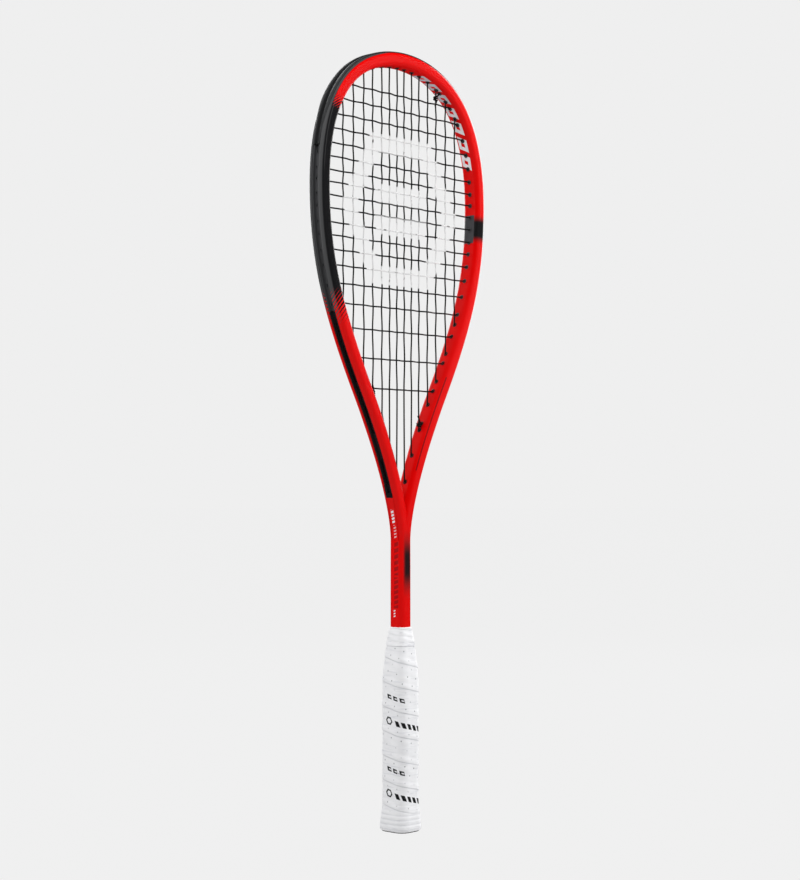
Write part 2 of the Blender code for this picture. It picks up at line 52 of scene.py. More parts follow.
BUMPER_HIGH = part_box("bumper_guard")[1]

MM = 0.001
INSIDE = 0.03 * MM  # how far the visual pieces stay inside the CAD box
TINY = 0.001 * MM

# Rim line, as in the CAD
TUBE_HALF_WIDTH = 6.0 * MM
BUMPER_TOP = 7.0 * MM
TOP_Z = BUMPER_HIGH.z - BUMPER_TOP - INSIDE
TOP_HANDLE = 31 * MM
WIDEST_X = FRAME_HIGH.x - TUBE_HALF_WIDTH - INSIDE
WIDEST_Z = 560 * MM
WIDEST_HANDLE_UP = 107 * MM
WIDEST_HANDLE_DOWN = 64 * MM
THROAT_X = 48 * MM
THROAT_Z = 384 * MM
THROAT_LEAN = math.radians(28.6)
THROAT_HANDLE_UP = 78 * MM
THROAT_HANDLE_DOWN = 59 * MM
JOIN_X = 1.1 * MM
JOIN_Z = 254 * MM
JOIN_HANDLE = 28.6 * MM

TUBE_HALF_DEPTH = 9.0 * MM
JOIN_HALF_DEPTH = 7.8 * MM
TUBE_CORNER = 4.5 * MM
THROAT_TAPER_LENGTH = 110 * MM
GROOVE_HALF_WIDTH = 3.8 * MM
GROOVE_FLOOR = 1.9 * MM

# Shaft: height, half width, half depth and corner
SHAFT_LINES = np.array([
    (170, 7.3, 8.0, 5.0), (228, 7.3, 8.0, 5.0), (240, 7.26, 7.95, 4.9), (250, 7.17, 7.87, 4.7),
    (254.5, 7.12, 7.82, 4.5), (257, 7.0, 7.74, 4.5), (262, 6.6, 7.4, 4.4)]) * MM

# Strings and grommets
STRING_RADIUS = 0.68 * MM
STRING_BEND = 1.1 * MM
MAIN_WEAVE = 0.36 * MM
CROSS_WEAVE = 1.02 * MM
MAIN_HEADS = np.array([4.7, 14.8, 25.0, 36.8, 48.5, 61.8, 75.1]) * MM
MAIN_FEET = np.array([7.2, 16.1, 26.2, 37.6, 49.1, 62.3, 74.7]) * MM
FIRST_CROSS_Z = 648.4 * MM
CROSS_STEPS = np.array([13.6, 13.8, 13.0, 12.5, 12.0, 11.5, 10.5, 11.0, 11.4, 11.8, 11.2, 12.0,
                        13.2, 15.2, 16.8, 20.7, 25.0, 25.9]) * MM
CROSSES = len(CROSS_STEPS) + 1
MAINS = len(MAIN_HEADS)
PLACE_DEPTH = -4.8 * MM
INNER_BEND = -7.1 * MM
LANE = 1.5 * MM
LANE_EASE = 2.6 * MM
LANE_HEIGHT = 3.8 * MM
UPPER_LANE_HEIGHT = 5.2 * MM
KNOT_RADIUS = 1.75 * MM
KNOT_PITCH = 1.65 * MM
KNOT_TURNS = 2.25
TAIL_LENGTH = 7 * MM
FOOT_KNOT_DROP = 3.4 * MM
HEAD_KNOT_DROP = 2.2 * MM
LAST_KNOT_RISE = 12 * MM
STRIP_HALF_WIDTH = 3.5 * MM
STRIP_FLOOR = 2.2 * MM
STRIP_BASE_TOP = 3.0 * MM
STRIP_CHANNEL = 2.3 * MM
STRIP_TOP = 5.6 * MM
STRIP_GAP = 0.25 * MM

# Turned profiles on a grommet's axis, as (n, radius)
BARREL = np.array([(2.6, 1.6), (-5.85, 1.6), (-6.0, 2.0), (-6.2, 2.15), (-6.42, 2.1), (-6.6, 1.8),
                   (-6.64, 1.35), (-6.5, 1.05), (-6.2, 0.9), (2.6, 0.9)]) * MM
COLLAR = np.array([(2.9, 1.75), (3.12, 1.7), (3.22, 1.45), (3.15, 1.1), (2.9, 0.95)]) * MM

# Handle: the CAD outline of the wrapped grip
GRIP_WIDTH = 27 * MM
GRIP_DEPTH = 29 * MM
GRIP_CORNER = 9 * MM
GRIP_HEIGHTS = np.array([0, 3, 12, 24, 131, 140, 152, 162, 170, 178.5]) * MM
GRIP_SCALES = [1.14, 1.16, 1.10, 1.0, 1.0, 0.965, 0.875, 0.80, 0.72, 0.61]
TAPE_FOOT_Z = 0.8 * MM
TAPE_TOP_Z = 162 * MM
FINISH_TOP_Z = 178.4 * MM
WRAP_PITCH = 21.4 * MM


# ---- rim line

def cubic(*corners, steps=500):
    """Points of a Bezier curve with four corners."""
    t = np.linspace(0, 1, steps)[:, None]
    weights = (1 - t) ** 3, 3 * (1 - t) ** 2 * t, 3 * (1 - t) * t ** 2, t ** 3
    return sum(weight * np.array(corner) for weight, corner in zip(weights, corners))


class Rim:
    """The rim line as a dense table of points and outward normals in the X-Z plane."""

    def __init__(self):
        lean = np.array([math.sin(THROAT_LEAN), math.cos(THROAT_LEAN)])
        throat = np.array([THROAT_X, THROAT_Z])
        head = cubic((0, TOP_Z), (TOP_HANDLE, TOP_Z), (WIDEST_X, WIDEST_Z + WIDEST_HANDLE_UP),
                     (WIDEST_X, WIDEST_Z))
        half = np.vstack([
            head,
            cubic((WIDEST_X, WIDEST_Z), (WIDEST_X, WIDEST_Z - WIDEST_HANDLE_DOWN),
                  throat + lean * THROAT_HANDLE_UP, throat)[1:],
            cubic(throat, throat - lean * THROAT_HANDLE_DOWN, (JOIN_X, JOIN_Z + JOIN_HANDLE),
                  (JOIN_X, JOIN_Z))[1:],
        ])
        line = np.vstack([half[:0:-1] * np.array([-1, 1]), half])
        s = np.concatenate([[0], np.cumsum(np.linalg.norm(np.diff(line, axis=0), axis=1))])
        self.s = s - s[-1] / 2
        self.length = self.s[-1]
        tangents = np.gradient(line, self.s, axis=0)
        tangents /= np.linalg.norm(tangents, axis=1)[:, None]
        self.points = line
        self.normals = np.stack([-tangents[:, 1], tangents[:, 0]], axis=1)
        self.widest = self.s[len(half) - 1 + len(head) - 1]

    def at(self, s, n=0.0, y=0.0):
        """Points for any mix of numbers and arrays of s, n and y."""
        s, n, y = np.broadcast_arrays(s, n, y)
        px, pz, nx, nz = (np.interp(s, self.s, table) for table in
                          (*self.points.T, *self.normals.T))
        return np.stack([px + n * nx, y, pz + n * nz], axis=-1)

    def find(self, axis, value, low, high):
        """The place s between low and high where the grommets' line reaches value on an axis."""
        places = np.linspace(low, high, 2000)
        line = self.at(places, PLACE_DEPTH)[:, axis]
        order = np.argsort(line)
        return float(np.interp(value, line[order], places[order]))

    def nearest(self, points):
        """(s, n) of each point, by the nearest entry of the table on the point's own side."""
        s, n = np.empty(len(points)), np.empty(len(points))
        for sign in (-1, 1):
            entries = np.flatnonzero(sign * self.s >= 0)
            chosen = np.flatnonzero(sign * points[:, 0] >= 0)
            for part in np.array_split(chosen, max(1, len(chosen) // 2000)):
                place = points[part][:, (0, 2)]
                offsets = place[:, None] - self.points[entries]
                entry = entries[np.argmin((offsets ** 2).sum(-1), axis=1)]
                s[part] = self.s[entry]
                n[part] = ((place - self.points[entry]) * self.normals[entry]).sum(-1)
        return s, n


RIM = Rim()


def main_head(rank):
    return RIM.find(0, MAIN_HEADS[rank], 0, RIM.widest)


def main_foot(rank):
    return RIM.find(0, MAIN_FEET[rank], RIM.widest, RIM.length - 30 * MM)


def cross_height(index):
    return FIRST_CROSS_Z - sum(CROSS_STEPS[:index])


def cross_end(index):
    return RIM.find(2, cross_height(index), 0, RIM.length)


HEAD_TIE_OFF = main_head(4) + 5.5 * MM
FOOT_TIE_OFF = main_foot(2) - 6.5 * MM
LAST_TIE_OFF = main_foot(3) + 7.5 * MM
GROOVE_END = main_foot(0) + 6.5 * MM
BUMPER_END = (cross_end(4) + cross_end(5)) / 2
THROAT_STRIP_START = (cross_end(15) + main_foot(MAINS - 1)) / 2


def grommet_places():
    """Every grommet's s, in order."""
    right = [place(rank) for place in (main_head, main_foot) for rank in range(MAINS)]
    right += [cross_end(i) for i in range(CROSSES)] + [HEAD_TIE_OFF, FOOT_TIE_OFF]
    return sorted([-s for s in right] + [-LAST_TIE_OFF] + right)


# ---- mesh helpers

def link(obj):
    bpy.context.scene.collection.objects.link(obj)


def smoothstep(low, high, value):
    """0 at low easing to 1 at high, or falling where low is the greater."""
    t = np.clip((np.asarray(value, float) - low) / (high - low), 0, 1)
    return t * t * (3 - 2 * t)


def make_piece(name, tubes, material=None, sharp=40):
    """One mesh of closed tubes. Each is (rings, ring-shaped), and has a cap at each end if not."""
    points, faces = [], []
    for rings, ring_shaped in tubes:
        rings = np.asarray(rings, float)
        number, size, _ = rings.shape
        index = len(points) + np.arange(number * size).reshape(number, size)
        points += rings.reshape(-1, 3).tolist()
        following = np.roll(index, -1, axis=0)
        for low, high in zip(index, following if ring_shaped else following[:-1]):
            quads = np.stack([low, np.roll(low, -1), np.roll(high, -1), high], axis=1)
            faces += quads.tolist()
        if not ring_shaped:
            faces += [index[0][::-1].tolist(), index[-1].tolist()]
    mesh = bpy.data.meshes.new(name)
    mesh.from_pydata(points, [], faces)
    mesh.validate()
    bm = bmesh.new()
    bm.from_mesh(mesh)
    bmesh.ops.recalc_face_normals(bm, faces=bm.faces)
    bm.to_mesh(mesh)
    bm.free()
    mesh.shade_smooth()
    mesh.set_sharp_from_angle(angle=math.radians(sharp))
    obj = bpy.data.objects.new(name, mesh)
    link(obj)
    if material:
        mesh.materials.append(material)
    return obj


def rounded_rectangle(half_width, half_depth, corner, steps=7):
    """Points of a rounded rectangle, anticlockwise from the middle of its first side."""
    points = [(half_width, 0.0)]
    for quarter, (sign_w, sign_d) in enumerate([(1, 1), (-1, 1), (-1, -1), (1, -1)]):
        angle = math.radians(90) * (quarter + np.linspace(0, 1, steps + 1))
        across = sign_w * (half_width - corner) + corner * np.cos(angle)
        along = sign_d * (half_depth - corner) + corner * np.sin(angle)
        points += list(zip(across, along))
        points += [(0.0, half_depth), (-half_width, 0.0), (0.0, -half_depth)][quarter:quarter + 1]
    return np.array(points)


def evenly_spaced(outline, count):
    """A closed outline again, with count points at equal steps along it."""
    loop = np.vstack([outline, outline[:1]])
    along = np.concatenate([[0], np.cumsum(np.linalg.norm(np.diff(loop, axis=0), axis=1))])
    places = np.linspace(0, along[-1], count, endpoint=False)
    return np.column_stack([np.interp(places, along, loop[:, axis]) for axis in (0, 1)])


def circle_of(sides):
    """Points of a round outline of radius 1."""
    angles = np.linspace(0, math.tau, sides, endpoint=False)
    return np.column_stack([np.cos(angles), np.sin(angles)])


def level_ring(outline, z):
    """The points of an (x, y) outline at height z."""
    return np.column_stack([outline, np.full(len(outline), z)])


def stations_between(start, end, step, extra=()):
    """Places along the rim from start up to end, with any extra ones between them."""
    count = max(2, int(round((end - start) / step)) + 1)
    stations = list(np.linspace(start, end, count)) + [s for s in extra if start < s < end]
    return sorted(set(stations))


SLIGHT_BEND = 0.985  # the cosine of a bend too slight to round


def round_corners(path, radius, steps=5):
    """A path with each corner that bends sharply replaced by a short curve."""
    path = [np.asarray(p, float) for p in path]
    out = [path[0]]
    for before, corner, after in zip(path, path[1:], path[2:]):
        to_before, to_after = before - corner, after - corner
        length_before, length_after = np.linalg.norm(to_before), np.linalg.norm(to_after)
        if min(length_before, length_after) < TINY:
            continue
        if to_before @ to_after < -SLIGHT_BEND * length_before * length_after:
            out.append(corner)
            continue
        reach = min(radius, 0.45 * length_before, 0.45 * length_after)
        first = corner + to_before / length_before * reach
        last = corner + to_after / length_after * reach
        for t in np.linspace(0, 1, steps):
            out.append((1 - t) ** 2 * first + 2 * t * (1 - t) * corner + t ** 2 * last)
    out.append(path[-1])
    return out


def tube_rings(path, radius, sides=10, least_step=0.08 * MM):
    """Rings of a round tube along path, turned no more than the path turns."""
    kept = [path[0]]
    for point in path[1:]:
        if np.linalg.norm(point - kept[-1]) > least_step:
            kept.append(point)
    path = np.array(kept)
    spans = np.diff(path, axis=0)
    spans /= np.linalg.norm(spans, axis=1)[:, None]
    tangents = np.vstack([spans[:1], spans[:-1] + spans[1:], spans[-1:]])
    tangents /= np.linalg.norm(tangents, axis=1)[:, None]
    side = np.cross(tangents[0], (0.31, 0.87, 0.38))  # any direction off the first tangent
    circle = radius * circle_of(sides)
    rings = []
    for point, tangent in zip(path, tangents):
        side = side - tangent * side.dot(tangent)
        side /= np.linalg.norm(side)
        rings.append(point + circle @ [side, np.cross(tangent, side)])
    return rings


def ride(obj, node):
    """Every piece rides on the one body and stands for the CAD node given."""
    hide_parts(node)
    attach(obj, "root")


# ---- node materials

class Shader:
    """A Principled material and short ways to put nodes in front of it."""

    def __init__(self, name, roughness, specular=0.5, metallic=0.0, coat=0.0, coat_roughness=0.05):
        self.material = bpy.data.materials.new(name)
        self.material.use_nodes = True
        self.tree = self.material.node_tree
        self.bsdf = self.tree.nodes["Principled BSDF"]
        self.bsdf.inputs["Roughness"].default_value = roughness
        self.bsdf.inputs["Specular IOR Level"].default_value = specular
        self.bsdf.inputs["Metallic"].default_value = metallic
        self.bsdf.inputs["Coat Weight"].default_value = coat
        self.bsdf.inputs["Coat Roughness"].default_value = coat_roughness

    def set(self, socket, value):
        """Links a node's output to the socket, or sets the socket to a plain value."""
        if isinstance(value, bpy.types.NodeSocket):
            self.tree.links.new(value, socket)
        else:
            socket.default_value = value

    def math(self, operation, *values):
        node = self.tree.nodes.new("ShaderNodeMath")
        node.operation = operation
        for socket, value in zip(node.inputs, values):
            self.set(socket, value)
        return node.outputs[0]

    def chain(self, operation, first, *rest):
        for value in rest:
            first = self.math(operation, first, value)
        return first

    def total(self, *values):
        return self.chain("ADD", *values)

    def product(self, *values):
        return self.chain("MULTIPLY", *values)

    def most(self, *values):
        return self.chain("MAXIMUM", *values)

    def invert(self, value):
        return self.math("SUBTRACT", 1.0, value)

    def ramp(self, value, low, high):
        """0 at low rising smoothly to 1 at high, or falling where low is the greater."""
        node = self.tree.nodes.new("ShaderNodeMapRange")
        node.interpolation_type = "SMOOTHSTEP"
        values = (value, min(low, high), max(low, high), float(low > high), float(low <= high))
        for socket, number in zip(node.inputs, values):
            self.set(socket, number)
        return node.outputs["Result"]

    def band(self, value, low, high, soft):
        """1 between low and high, with soft edges, and 0 outside."""
        return self.product(self.ramp(value, low - soft, low + soft),
                            self.ramp(value, high + soft, high - soft))

    def repeat(self, place, start, pitch):
        """How far through its own pitch a place is, from 0 to 1."""
        return self.math("FRACT", self.product(self.total(place, -start), 1 / pitch))

    def hexagon(self, across, up):
        """The size of the hexagon through a point, from its two distances to the middle."""
        slant = self.total(self.product(across, math.cos(math.radians(30))), self.product(up, 0.5))
        return self.most(up, slant)

    def attribute(self, name):
        node = self.tree.nodes.new("ShaderNodeAttribute")
        node.attribute_name = name
        return node.outputs["Fac"]

    def position(self):
        """x, y and z in millimetres."""
        place = self.tree.nodes.new("ShaderNodeTexCoord").outputs["Object"]
        node = self.tree.nodes.new("ShaderNodeSeparateXYZ")
        self.tree.links.new(place, node.inputs[0])
        return [self.product(axis, 1000.0) for axis in node.outputs]

    def noise(self, scale, detail=3.0, stretch=(1, 1, 1)):
        place = self.tree.nodes.new("ShaderNodeTexCoord").outputs["Object"]
        mapping = self.tree.nodes.new("ShaderNodeMapping")
        mapping.inputs["Scale"].default_value = stretch
        node = self.tree.nodes.new("ShaderNodeTexNoise")
        node.inputs["Scale"].default_value = scale
        node.inputs["Detail"].default_value = detail
        self.tree.links.new(place, mapping.inputs["Vector"])
        self.tree.links.new(mapping.outputs["Vector"], node.inputs["Vector"])
        return node.outputs["Fac"]

    def mix(self, factor, first, second):
        node = self.tree.nodes.new("ShaderNodeMix")
        node.data_type = "RGBA"
        self.set(node.inputs["Factor"], factor)
        sockets = {socket.name: socket for socket in node.inputs if socket.type == "RGBA"}
        for name, colour in (("A", first), ("B", second)):
            if not isinstance(colour, bpy.types.NodeSocket):
                colour = (*colour, 1)
            self.set(sockets[name], colour)
        return next(socket for socket in node.outputs if socket.type == "RGBA")

    def between(self, factor, low, high):
        """A number that runs from low to high as factor runs from 0 to 1."""
        return self.total(self.product(factor, high - low), low)

    def colour(self, value):
        self.set(self.bsdf.inputs["Base Color"], value)

    def roughness(self, value):
        self.set(self.bsdf.inputs["Roughness"], value)

    def bump(self, height, distance, strength=1.0):
        node = self.tree.nodes.new("ShaderNodeBump")
        node.inputs["Strength"].default_value = strength
        node.inputs["Distance"].default_value = distance
        self.set(node.inputs["Height"], height)
        self.tree.links.new(node.outputs["Normal"], self.bsdf.inputs["Normal"])


RED = (0.74, 0.0007, 0.0005)
DEEP_RED = (0.60, 0.0006, 0.0004)
BRIGHT_RED = (0.80, 0.002, 0.001)
BLACK = (0.006, 0.006, 0.007)
SATIN_BLACK = (0.014, 0.014, 0.015)
SILVER = (0.52, 0.50, 0.54)
WHITE = (0.80, 0.78, 0.80)
DARK_RED = (0.16, 0.004, 0.006)
# Painted sheen: the grey that the flat inner face shows under the black band, where light falls on
# it
INNER_SHEEN_GREY = (0.06, 0.06, 0.065)
OUTER_BLACK = (0.070, 0.071, 0.073)

# Where the paint changes, in millimetres along the rim
HEAD_FADE = (95.0, 118.0)
THROAT_FADE = (259.0, 309.0)
HATCH_PITCH = 3.1
HATCH_SLOPE = 0.8
TIP_LENGTH = 4.6  # the black that runs on past the groove's end
BAND = (188.0, 208.5)
BAND_SOFTNESS = 4.2
# Where the painted sheen lies along the rim
INNER_SHEEN_SPAN = (BAND[0] - 3.3, BAND[1] + 2.9)
BLOCKS = (22.0, 144.0)
BLOCK_START = 23.0
BLOCK_PITCH = 17.2
BLOCK_SLANT = 0.55
DARK_EDGE_LINE = (347.0, 440.0)

# On the shaft, in millimetres. A row of bars: low and high z, pitch, share filled, low and high y
SHAFT_PATCH = (214.0, 254.0)
SHAFT_PATCH_SOFTNESS = 13.0
BAR_SLANT = 0.3
UPPER_BARS = (269.5, 281.5, 2.9, 0.74, -1.4, 1.7)
FAINT_BARS = (256.5, 268.0, 2.7, 0.56, -1.9, 0.9)
LOWER_BARS = (187.0, 193.5, 2.4, 0.62, -0.6, 1.4)
DARK_BARS = ((195.0, 222.0, 4.4, 0.78, -4.0, 0.8), (224.0, 255.0, 5.4, 0.74, -4.0, 0.8))
RED_COAT = 0.14
BLACK_COAT = 0.55


def paint_material():
    """Red lacquer with a black left side, hatched fades, a black band and plain marks."""
    sh = Shader("frame_paint", 0.34, specular=0.12, coat=RED_COAT, coat_roughness=0.10)
    x, y, z = sh.position()
    s, n, on_rim, right_half = map(sh.attribute, ("rim_s", "rim_n", "on_rim", "right_half"))
    left_half = sh.product(sh.invert(right_half), on_rim)
    right_half = sh.product(right_half, on_rim)
    depth = sh.math("ABSOLUTE", y)

    # The left side is black between two fades, each made of slanting lines
    around = sh.total(depth, sh.product(n, -1.0), 6.0)
    stripe = sh.repeat(sh.total(z, sh.product(around, -HATCH_SLOPE)), 0.0, HATCH_PITCH)
    stripe = sh.product(sh.math("ABSOLUTE", sh.total(stripe, -0.5)), 2.0)

    def hatched(amount):
        """Lines whose share of their pitch is the amount given."""
        edge = sh.total(sh.product(amount, 1.24), -0.12)
        return sh.ramp(sh.total(edge, sh.product(stripe, -1.0)), -0.06, 0.06)

    throat_end = sh.ramp(s, THROAT_FADE[1], THROAT_FADE[0])
    border = sh.between(sh.ramp(s, 0.0, 40.0), 6.3, 4.5)
    outer = sh.ramp(sh.math("SUBTRACT", n, border), -0.12, 0.12)
    whole = hatched(sh.product(sh.ramp(s, *HEAD_FADE), throat_end))
    groove_end = GROOVE_END / MM
    tip = sh.product(sh.ramp(s, groove_end + TIP_LENGTH, groove_end + TIP_LENGTH - 0.4),
                     sh.ramp(s, groove_end - 8.0, groove_end - 7.0),
                     sh.ramp(depth, 4.1, 3.7), sh.ramp(n, 0.5, 1.5), on_rim)
    black = sh.product(sh.most(whole, sh.product(outer, hatched(throat_end))), left_half)
    black = sh.most(black, tip)

    # The right side has one soft black band, with a square grey patch on the inner face: a painted
    # sheen for the light that falls on that face
    band = sh.product(sh.band(s, *BAND, BAND_SOFTNESS), right_half)
    patch = sh.product(sh.band(s, *INNER_SHEEN_SPAN, 0.25), sh.ramp(n, -5.2, -5.6),
                       sh.ramp(y, -5.0, -4.6), right_half)

    # Slanting blocks with a slot in each, along the right inner face
    slanted = sh.total(s, sh.product(y, BLOCK_SLANT))
    block = sh.repeat(slanted, BLOCK_START, BLOCK_PITCH)
    blocks = sh.product(sh.band(block, 0.10, 0.82, 0.02), sh.band(slanted, *BLOCKS, 0.3),
                        sh.band(y, -4.3, 5.5, 0.2), sh.ramp(n, -4.9, -5.3), right_half)
    slot = sh.product(sh.band(block, 0.40, 0.60, 0.02), sh.band(y, -1.2, 2.6, 0.2))
    blocks = sh.product(blocks, sh.invert(slot))

    # A dark red line along the inner edge of each throat tube, front and back
    dark_edge_line = sh.product(sh.band(s, *DARK_EDGE_LINE, 1.0), sh.band(n, -4.35, -3.55, 0.12),
                           sh.ramp(depth, 7.0, 7.6), on_rim)

    # Bars on the sides of the shaft, and a soft black patch on its front and back
    def bars(low, high, pitch, filled, y_low, y_high):
        step = sh.repeat(sh.total(z, sh.product(y, BAR_SLANT)), 0.0, pitch)
        return sh.product(sh.band(step, 0.1, filled, 0.03), sh.band(z, low, high, 0.2),
                          sh.band(y, y_low, y_high, 0.12))

    on_side = sh.ramp(sh.math("ABSOLUTE", x), 6.4, 6.7)
    faint = sh.product(bars(*FAINT_BARS), 0.55)
    white_bars = sh.product(sh.most(bars(*UPPER_BARS), faint, bars(*LOWER_BARS)), on_side)
    dark_bars = sh.product(sh.most(*(bars(*row) for row in DARK_BARS)), on_side)
    patch_on_shaft = sh.product(sh.band(z, *SHAFT_PATCH, SHAFT_PATCH_SOFTNESS),
                                sh.ramp(depth, 7.2, 7.95), sh.ramp(x, -8.0, -1.5),
                                sh.invert(on_rim))

    # The red lacquer has metal flakes and faint clouds, and the black is satin
    flake = sh.noise(5200.0, 1.0)
    cloud = sh.noise(60.0, 4.0)
    red = sh.mix(sh.product(cloud, 0.35), RED, DEEP_RED)
    red = sh.mix(sh.ramp(flake, 0.62, 0.74), red, BRIGHT_RED)
    lacquer = sh.mix(sh.product(dark_bars, 0.6), red, DARK_RED)
    lacquer = sh.mix(dark_edge_line, lacquer, DARK_RED)
    letters = sh.mix(sh.ramp(s, 60.0, 100.0), SILVER, WHITE)
    lacquer = sh.mix(blocks, lacquer, letters)
    lacquer = sh.mix(white_bars, lacquer, WHITE)
    dark = sh.most(black, band, sh.product(patch_on_shaft, 0.985))
    satin = sh.mix(sh.noise(900.0, 3.0), BLACK, SATIN_BLACK)
    satin = sh.mix(sh.product(sh.ramp(n, 4.2, 5.2), sh.invert(tip), on_rim), satin, OUTER_BLACK)
    lacquer = sh.mix(dark, lacquer, satin)
    # Painted sheen on the flat inner face, over the black band
    lacquer = sh.mix(patch, lacquer, INNER_SHEEN_GREY)
    sh.colour(lacquer)
    sh.roughness(sh.total(sh.between(dark, 0.30, 0.42), sh.product(cloud, 0.06)))
    sh.set(sh.bsdf.inputs["Coat Weight"], sh.between(dark, RED_COAT, BLACK_COAT))
    sh.bump(sh.noise(420.0, 2.0), 0.00004, 0.35)
    return sh.material


def nylon_material(name, base, roughness):
    """Moulded nylon: fine grain, faint flow marks and a few rubbed places."""
    sh = Shader(name, roughness, specular=0.45)
    grain = sh.noise(2600.0, 2.0)
    flow = sh.noise(45.0, 5.0, (1, 1, 0.25))
    lighter = tuple(c * 1.9 + 0.004 for c in base)
    sh.colour(sh.mix(sh.product(flow, 0.6), base, lighter))
    sh.roughness(sh.total(sh.product(flow, 0.16), sh.product(grain, 0.06), roughness - 0.1))
    sh.bump(sh.total(grain, sh.product(flow, 0.4)), 0.00006, 0.4)
    return sh.material


# The stencil on the strings, in millimetres
STENCIL_Z = 545.0
STENCIL_RING = (50.0, 66.0)
STENCIL_BARS = (6.0, 22.0)
STENCIL_BAR_END = 33.0
STENCIL_SOFTNESS = 0.8
STRING_BLACKS = ((0.003, 0.0035, 0.0035), (0.012, 0.013, 0.013))
STENCIL_WHITES = ((0.60, 0.60, 0.60), (0.86, 0.86, 0.86))


def string_material():
    """Black string with a twisted-fibre grain and a pale stencil: a hexagon ring with bars."""
    sh = Shader("string_fibre", 0.40, specular=0.3)
    x, _, z = sh.position()
    across = sh.math("ABSOLUTE", x)
    rise = sh.math("ABSOLUTE", sh.total(z, -STENCIL_Z))
    ring = sh.band(sh.hexagon(across, rise), *STENCIL_RING, STENCIL_SOFTNESS)
    bar = sh.product(sh.band(rise, *STENCIL_BARS, STENCIL_SOFTNESS),
                     sh.band(across, 0.0, STENCIL_BAR_END, STENCIL_SOFTNESS))
    worn = sh.ramp(sh.noise(160.0, 3.0), 0.24, 0.40)
    stencil = sh.product(sh.most(ring, bar), worn)
    fibre = sh.noise(2400.0, 2.0, (1, 1, 0.2))
    black = sh.mix(fibre, *STRING_BLACKS)
    pale = sh.mix(sh.noise(70.0, 2.0), *STENCIL_WHITES)
    sh.colour(sh.mix(stencil, black, pale))
    sh.roughness(sh.total(sh.between(stencil, 0.30, 0.60), sh.product(fibre, 0.1)))
    sh.bump(fibre, 0.00005, 0.5)
    return sh.material


# The print on the grip, in millimetres along the tape and up the handle. A row of bars: height,
# start and end, pitch, share filled and lean. Each row is printed twice.
SMALL_PRINT_Z = (115.0, 52.0)
SMALL_BARS = (3.6, -16.6, 4.0, 6.9, 0.72, 0.25)
SMALL_SLOTS = (1.1, -14.9, 4.0, 6.9, 0.42, 0.25)
LARGE_PRINT_Z = (93.6, 30.6)
LARGE_BARS = (4.6, -7.0, 23.0, 6.1, 0.70, 0.45)
RING_RISE = 0.3
RING_PLACE = -14.2
RING_RADIUS = 3.3
TAPE_WHITES = ((0.83, 0.835, 0.86), (0.93, 0.93, 0.94))
# Painted shade in the tape's creases
CREASE_SHADE_GREY = (0.60, 0.61, 0.65)
# Painted shade along the tape's overlap edges and in the folds over the butt
EDGE_SHADE_GREY = (0.48, 0.49, 0.53)
# Painted shade in the pits
PIT_SHADE_GREY = (0.20, 0.20, 0.22)
PRINT_BLACK = (0.010, 0.010, 0.012)


def grip_material():
    """White tacky wrap with pits, rows of plain printed bars, and painted shade in its pits and
    creases and along its overlap edges.
    """
    sh = Shader("grip_wrap", 0.55, specular=0.35)
    a, h, pit, edge = map(sh.attribute, ("print_a", "print_z", "pit", "edge"))

    def row(z, height, start, end, pitch, filled, lean):
        place = sh.total(a, sh.product(sh.total(h, -z), lean))
        step = sh.repeat(place, start, pitch)
        return sh.product(sh.band(step, 0.06, filled, 0.02), sh.band(place, start, end, 0.1),
                          sh.band(h, z - height / 2, z + height / 2, 0.12))

    def ring(z):
        size = sh.hexagon(sh.math("ABSOLUTE", sh.total(a, -RING_PLACE)),
                          sh.math("ABSOLUTE", sh.total(h, -z)))
        return sh.band(size, RING_RADIUS * 0.62, RING_RADIUS, 0.1)

    small = [row(z, *SMALL_BARS) for z in SMALL_PRINT_Z]
    small_slots = [row(z, *SMALL_SLOTS) for z in SMALL_PRINT_Z]
    large = [row(z, *LARGE_BARS) for z in LARGE_PRINT_Z]
    rings = [ring(z + RING_RISE) for z in LARGE_PRINT_Z]
    printed = sh.product(sh.most(*small), sh.invert(sh.most(*small_slots)))
    printed = sh.most(printed, *large, *rings)

    cloud = sh.noise(55.0, 5.0, (1, 1, 2.2))
    fine = sh.noise(2600.0, 3.0)
    creases = sh.noise(240.0, 4.0, (0.25, 0.25, 3.0))
    white = sh.mix(cloud, *TAPE_WHITES)
    # Painted shade in the creases, which the bump also follows
    white = sh.mix(sh.product(sh.ramp(creases, 0.54, 0.70), 0.45), white, CREASE_SHADE_GREY)
    # Painted shade along the overlap edges and in the folds over the butt, which the edge
    # attribute carries
    white = sh.mix(sh.product(edge, 0.5), white, EDGE_SHADE_GREY)
    # Painted shade in the pits, which the relief also sinks
    white = sh.mix(pit, white, PIT_SHADE_GREY)
    sh.colour(sh.mix(printed, white, PRINT_BLACK))
    sh.roughness(sh.total(sh.product(fine, 0.12), sh.product(cloud, 0.12), 0.42))
    sh.bump(sh.total(fine, sh.product(creases, 1.6)), 0.00009, 0.5)
    return sh.material


def finishing_material():
    """Stretched white tape with painted shade in its creases."""
    sh = Shader("finishing_wrap", 0.5, specular=0.35)
    creases = sh.noise(200.0, 4.0, (0.3, 0.3, 2.5))
    fine = sh.noise(2400.0, 3.0)
    white = sh.mix(sh.noise(90.0, 3.0), *TAPE_WHITES)
    # Painted shade in the creases, which the bump also follows
    sh.colour(sh.mix(sh.product(sh.ramp(creases, 0.52, 0.66), 0.5), white, (0.50, 0.51, 0.55)))
    sh.roughness(sh.total(sh.product(fine, 0.15), 0.40))
    sh.bump(sh.total(creases, sh.product(fine, 0.4)), 0.0001, 0.6)
    return sh.material


